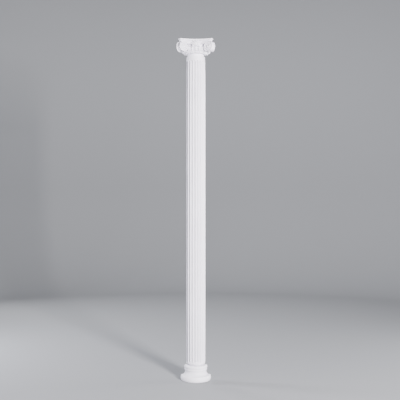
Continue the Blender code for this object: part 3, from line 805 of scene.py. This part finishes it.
def add_beads(bm):
    """Bead-and-reel round the foot of the bowl."""
    z = CAPITAL_BOTTOM + BEAD_RING_HEIGHT / 2
    radius = BEAD_RING_RADIUS - BEAD_RING_HEIGHT / 2
    reach = math.ceil(BEAD_COUNT / 4)
    bead = (BEAD_HALF_LENGTH, BEAD_RING_HEIGHT / 2, BEAD_RING_HEIGHT / 2)
    reel = (REEL_HALF_LENGTH, REEL_HEIGHT_SHARE * BEAD_RING_HEIGHT, REEL_HEIGHT_SHARE * BEAD_RING_HEIGHT)
    for place in range(-reach, reach + 1):
        turn = FULL_TURN * place / BEAD_COUNT
        add_sphere(bm, turned_point(radius, turn, z), bead, turn, 0.0, 24, 16)
        for side in (-1, 1):
            spot = turn + HALF_TURN / BEAD_COUNT + side * REEL_HALF_SPACING / radius
            add_sphere(bm, turned_point(radius, spot, z), reel, spot, 0.0, 16, 12)


def palmette_columns(width, height, petals):
    """Bearing, place across its petal and length of each column of points in a fan of petals."""
    heart = PALMETTE_HEART * height
    columns = []
    for k in range(petals * PETAL_COLUMNS):
        step = (k % PETAL_COLUMNS) / PETAL_COLUMNS - 0.5
        middle = FULL_TURN * (k // PETAL_COLUMNS - (petals - 1) / 2) / petals
        bearing = middle + step * FULL_TURN / petals
        droop = (1 - math.cos(bearing)) / 2
        upper = math.hypot((height - heart) * math.cos(bearing), width / 2 * math.sin(bearing))
        lower = math.hypot(heart * math.cos(bearing), width / 2 * math.sin(bearing))
        length = upper * (1 - droop) + lower * droop
        point = (1 - abs(2 * step)) ** 0.7
        columns.append((bearing, step, length * (1 - PETAL_POINT + PETAL_POINT * point)))
    return columns


def petal_lift(reach, step):
    """Lift of a petal as a share of the relief: domed, low at its tip, with a groove along its middle."""
    body = math.cos(HALF_TURN * step) ** 0.8
    groove = GROOVE_DEPTH * math.exp(-((step / GROOVE_WIDTH) ** 2)) * min(1.0, 3 * (1 - reach))
    dome = PETAL_ROOT_LIFT + (1 - PETAL_ROOT_LIFT) * math.sin(HALF_TURN * min(1.0, reach) ** 0.8)
    rise = dome * (1 - PETAL_TIP_DROP * reach**4)
    return max(PETAL_LEAST_LIFT, rise * (PETAL_EDGE_LIFT + (1 - PETAL_EDGE_LIFT) * body) - groove)


def add_inner_flower(bm, matrix, height, relief, petals):
    """A ring of small round petals and a bud at the heart of a palmette."""
    heart = PALMETTE_HEART * height
    out = INNER_PETAL_PLACE * height
    lift = INNER_PETAL_LIFT * relief
    half_width = INNER_PETAL_HALF_WIDTH * height
    half_depth = INNER_PETAL_HALF_DEPTH * relief
    half_length = INNER_PETAL_HALF_LENGTH * height
    for k in range(petals):
        bearing = FULL_TURN * (k + 0.5) / petals
        place = Matrix.Translation((out * math.sin(bearing), -lift, heart + out * math.cos(bearing)))
        shape = place @ Matrix.Rotation(bearing, 4, "Y")
        add_ellipsoid(bm, matrix @ (shape @ Matrix.Diagonal((half_width, half_depth, half_length, 1))))
    bud_size = BUD_RADIUS * height / FLOWER_HEIGHT
    bud = Matrix.Translation((0, -lift, heart)) @ Matrix.Diagonal((bud_size, bud_size, bud_size, 1))
    add_ellipsoid(bm, matrix @ bud, 24, 16)


def add_palmette(bm, matrix, size, relief, root, petals):
    """A fan of pointed petals with grooves, round a small inner flower."""
    width, height = size
    heart = PALMETTE_HEART * height

    def vertex(bearing, out, y):
        point = Vector((out * math.sin(bearing), y, heart + out * math.cos(bearing)))
        return bm.verts.new(matrix @ point)

    columns = palmette_columns(width, height, petals)
    rows = []
    for i in range(PETAL_ROWS + 1):
        reach = PETAL_START + (1 - PETAL_START) * i / PETAL_ROWS
        row = []
        for bearing, step, length in columns:
            row.append(vertex(bearing, length * reach, -relief * petal_lift(reach, step)))
        rows.append(row)
    rows.append([vertex(bearing, length, root) for bearing, _, length in columns])
    bridge_rows(bm, rows, closed=True)
    cap_ring(bm, rows[0], vertex(0.0, 0.0, -PALMETTE_HEART_LIFT * relief))
    bm.faces.new(list(reversed(rows[-1])))
    add_inner_flower(bm, matrix, height, relief, petals)


def add_flowers(bm):
    """A flower at the front and one on each side, where the wall cuts it in half."""
    bottom = COLUMN_TOP - FLOWER_TIP_DROP - FLOWER_HEIGHT
    for quarter in (-1, 0, 1):
        turn = quarter * HALF_TURN / 2
        matrix = Matrix.Rotation(turn, 4, "Z") @ Matrix.Translation((0, -FLOWER_PLANE, bottom))
        add_palmette(bm, matrix, (FLOWER_WIDTH, FLOWER_HEIGHT), FLOWER_RELIEF, FLOWER_ROOT, FLOWER_PETALS)


def add_leaves(bm):
    """The leaves that spring from the volutes over the echinus."""
    z = COLUMN_TOP - LEAF_DROP
    for side in (-1, 1):
        for turn, lean in ((LEAF_ANGLE, LEAF_LEAN), (HALF_TURN / 2 - LEAF_ANGLE, -LEAF_LEAN)):
            matrix = (
                Matrix.Rotation(side * turn, 4, "Z")
                @ Matrix.Translation((0, -LEAF_PLANE, z))
                @ Matrix.Rotation(side * lean + HALF_TURN, 4, "Y")
                @ Matrix.Translation((0, 0, -LEAF_HEIGHT / 2))
            )
            add_palmette(bm, matrix, (LEAF_WIDTH, LEAF_HEIGHT), LEAF_RELIEF, LEAF_ROOT, LEAF_PETALS)


def evaluated_mesh(obj):
    """A new mesh with the object's modifiers applied."""
    bpy.context.view_layer.update()
    return bpy.data.meshes.new_from_object(obj.evaluated_get(bpy.context.evaluated_depsgraph_get()))


def drop_crumbs(bm):
    """Delete every face that isn't joined to the largest shell."""
    shells = []
    seen = set()
    for start in bm.faces:
        if start in seen:
            continue
        seen.add(start)
        shell = [start]
        for face in shell:
            beyond = {other for edge in face.edges for other in edge.link_faces} - seen
            seen |= beyond
            shell.extend(sorted(beyond, key=lambda other: other.index))
        shells.append(shell)
    shells.sort(key=len)
    crumbs = [face for shell in shells[:-1] for face in shell]
    bmesh.ops.delete(bm, geom=crumbs, context="FACES")


def cast_together(bm):
    """Fuse overlapping forms into one skin with the soft edges of a moulding, cut flat at the wall."""
    rough = bpy.data.meshes.new("carving_forms")
    bm.to_mesh(rough)
    bm.free()
    work = bpy.data.objects.new("carving_forms", rough)
    bpy.context.scene.collection.objects.link(work)
    fuse = work.modifiers.new("fuse", "REMESH")
    fuse.mode = "VOXEL"
    fuse.voxel_size = CARVING_VOXEL
    soften = work.modifiers.new("soften", "SMOOTH")
    soften.factor = 0.5
    soften.iterations = 2
    fused = evaluated_mesh(work)
    work.modifiers.clear()
    work.data = fused
    thin = work.modifiers.new("thin", "DECIMATE")
    thin.ratio = min(1.0, CARVING_TRIANGLES / (2 * len(fused.polygons)))
    cast = bmesh.new()
    cast.from_mesh(evaluated_mesh(work))
    bpy.data.objects.remove(work, do_unlink=True)
    geometry = cast.verts[:] + cast.edges[:] + cast.faces[:]
    bmesh.ops.bisect_plane(cast, geom=geometry, plane_co=(0, 0, 0), plane_no=(0, 1, 0), clear_outer=True)
    drop_crumbs(cast)
    rim = [edge for edge in cast.edges if edge.is_boundary]
    bmesh.ops.holes_fill(cast, edges=rim, sides=0)
    drop_crumbs(cast)
    return cast


def build_capital(material):
    """The carved half capital: all its forms, cast together into one piece."""
    bm = bmesh.new()
    add_bell(bm)
    add_abacus(bm)
    add_channel(bm)
    add_volute(bm, 1)
    add_volute(bm, -1)
    add_eggs(bm)
    add_beads(bm)
    add_flowers(bm)
    add_leaves(bm)
    bmesh.ops.recalc_face_normals(bm, faces=bm.faces)
    add_piece(cast_together(bm), "carved_capital", "capital", material)


def add_noise(tree, place, scale, detail):
    """Noise that stays with the object."""
    noise = tree.nodes.new("ShaderNodeTexNoise")
    noise.inputs["Scale"].default_value = scale
    noise.inputs["Detail"].default_value = detail
    tree.links.new(place.outputs["Object"], noise.inputs["Vector"])
    return noise


def add_ramp(tree, source, low, high):
    """A colour ramp between two stops, each a (position, colour) pair."""
    ramp = tree.nodes.new("ShaderNodeValToRGB")
    for stop, (position, color) in zip(ramp.color_ramp.elements, (low, high)):
        stop.position = position
        stop.color = (*color, 1)
    tree.links.new(source, ramp.inputs["Fac"])
    return ramp


def add_bump(tree, height, strength, distance):
    """A bump in the surface that follows a noise."""
    bump = tree.nodes.new("ShaderNodeBump")
    bump.inputs["Strength"].default_value = strength
    bump.inputs["Distance"].default_value = distance
    tree.links.new(height.outputs["Fac"], bump.inputs["Height"])
    return bump


def moulded_white(name):
    """Satin white primer on moulded foam: a faint skin texture, and painted cool shade that darkens the
    hollows.
    """
    material = bpy.data.materials.new(name)
    material.use_nodes = True
    tree = material.node_tree
    shader = tree.nodes["Principled BSDF"]
    shader.inputs["IOR"].default_value = 1.46
    place = tree.nodes.new("ShaderNodeTexCoord")

    # Sockets 6 and 7 of a Mix node are its two colours, and its output 2 is the mixed colour
    cloud = add_noise(tree, place, 7.0, 4.0)
    tint = add_ramp(tree, cloud.outputs["Fac"], (0.35, (0.820, 0.796, 0.855)), (0.65, (0.865, 0.841, 0.898)))
    # Painted shade: where Pointiness finds a concave surface, the colour is multiplied down towards a cool
    # dark grey
    shape = tree.nodes.new("ShaderNodeNewGeometry")
    hollow = add_ramp(tree, shape.outputs["Pointiness"], (0.42, (0.34, 0.34, 0.41)), (0.502, (1, 1, 1)))
    shade = tree.nodes.new("ShaderNodeMix")
    shade.data_type = "RGBA"
    shade.blend_type = "MULTIPLY"
    shade.inputs["Factor"].default_value = 1.0
    tree.links.new(tint.outputs["Color"], shade.inputs[6])
    tree.links.new(hollow.outputs["Color"], shade.inputs[7])
    tree.links.new(shade.outputs[2], shader.inputs["Base Color"])

    gloss = tree.nodes.new("ShaderNodeMapRange")
    gloss.inputs["To Min"].default_value = 0.42
    gloss.inputs["To Max"].default_value = 0.60
    tree.links.new(cloud.outputs["Fac"], gloss.inputs["Value"])
    tree.links.new(gloss.outputs["Result"], shader.inputs["Roughness"])

    skin = add_noise(tree, place, 420.0, 3.0)
    waves = add_noise(tree, place, 38.0, 2.0)
    fine = add_bump(tree, skin, 0.10, 0.0006)
    broad = add_bump(tree, waves, 0.12, 0.0012)
    tree.links.new(fine.outputs["Normal"], broad.inputs["Normal"])
    tree.links.new(broad.outputs["Normal"], shader.inputs["Normal"])
    return material


def plain_material(name, color):
    """A matt surface of one colour."""
    material = bpy.data.materials.new(name)
    material.use_nodes = True
    shader = material.node_tree.nodes["Principled BSDF"]
    shader.inputs["Base Color"].default_value = (*color, 1)
    shader.inputs["Roughness"].default_value = 0.9
    return material


def build_studio():
    """A round pale floor that curves up into a backdrop on all sides, well away from the column."""
    bm = bmesh.new()
    profile = []
    for i in range(BACKDROP_STEPS + 1):
        angle = math.radians(90 * i / BACKDROP_STEPS)
        rise = BACKDROP_BEND * (1 - math.cos(angle))
        profile.append((STUDIO_RADIUS - BACKDROP_BEND * (1 - math.sin(angle)), rise))
    profile.append((STUDIO_RADIUS, STUDIO_HEIGHT))
    turns = [FULL_TURN * i / STUDIO_SEGMENTS for i in range(STUDIO_SEGMENTS)]
    rows = []
    for radius, z in profile:
        rows.append([bm.verts.new(turned_point(radius, turn, z - FLOOR_GAP)) for turn in turns])
    bridge_rows(bm, rows, closed=True)
    bm.faces.new(rows[0])
    bmesh.ops.recalc_face_normals(bm, faces=bm.faces)
    mesh = bpy.data.meshes.new("studio_floor")
    bm.to_mesh(mesh)
    bm.free()
    mesh.shade_smooth()
    floor = bpy.data.objects.new("studio_floor", mesh)
    floor.data.materials.append(plain_material("pale_paper", (0.25, 0.255, 0.265)))
    bpy.context.scene.collection.objects.link(floor)


def add_light(name, place, aim, size, watts, color):
    """A rectangular area light that faces aim."""
    data = bpy.data.lights.new(name, "AREA")
    data.shape = "RECTANGLE"
    data.size, data.size_y = size
    data.energy = watts
    data.color = color
    light = bpy.data.objects.new(name, data)
    light.location = place
    light.rotation_euler = (Vector(aim) - Vector(place)).to_track_quat("-Z", "Y").to_euler()
    bpy.context.scene.collection.objects.link(light)


def build_lights():
    """A key from the right, rims at both sides, fill from above and behind, and a wash on the backdrop."""
    middle = (0, 0, 1.2)
    add_light("key", (2.2, -4.3, 1.9), middle, (0.7, 0.9), 950, (1.0, 0.980, 1.0))
    add_light("left_rim", (-3.0, 0.9, 1.3), middle, (0.7, 2.6), 170, (0.90, 0.91, 1.0))
    add_light("right_rim", (3.2, 0.7, 1.3), middle, (0.7, 2.6), 70, (0.94, 0.95, 1.0))
    add_light("overhead", (0, 0.9, 4.9), (0, 0.3, 1.2), (2.4, 2.4), 105, (0.96, 0.97, 1.0))
    add_light("rear_fill", (-2.9, 3.4, 2.2), middle, (0.8, 2.4), 90, (0.96, 0.97, 1.0))
    add_light("backdrop_wash", (0, 3.0, 4.6), (0, STUDIO_RADIUS, 1.6), (5.0, 0.8), 140, (0.96, 0.97, 1.0))
    world = bpy.data.worlds.new("studio_air")
    world.use_nodes = True
    background = world.node_tree.nodes["Background"]
    background.inputs["Color"].default_value = (0.86, 0.87, 1.0, 1)
    background.inputs["Strength"].default_value = 0.10
    bpy.context.scene.world = world


def build_camera():
    """A level camera in front of the wall plane, shifted so that the column sits as in the photograph."""
    data = bpy.data.cameras.new("camera")
    data.sensor_width = SENSOR_WIDTH
    data.lens = SENSOR_WIDTH * CAMERA_DISTANCE / (PHOTO_SIZE * PHOTO_SCALE)
    data.shift_x = (PHOTO_SIZE / 2 - PHOTO_CENTER_X) / PHOTO_SIZE
    data.shift_y = (PHOTO_EYE_LEVEL_Y - PHOTO_SIZE / 2) / PHOTO_SIZE
    camera = bpy.data.objects.new("camera", data)
    camera.location = (0, WALL_Y - CAMERA_DISTANCE, CAMERA_HEIGHT)
    camera.rotation_euler = (math.radians(90), 0, 0)
    bpy.context.scene.collection.objects.link(camera)
    bpy.context.scene.camera = camera


build_camera()
build_base(moulded_white("base_white"))
build_shaft(moulded_white("shaft_white"))
build_capital(moulded_white("capital_white"))
build_studio()
build_lights()
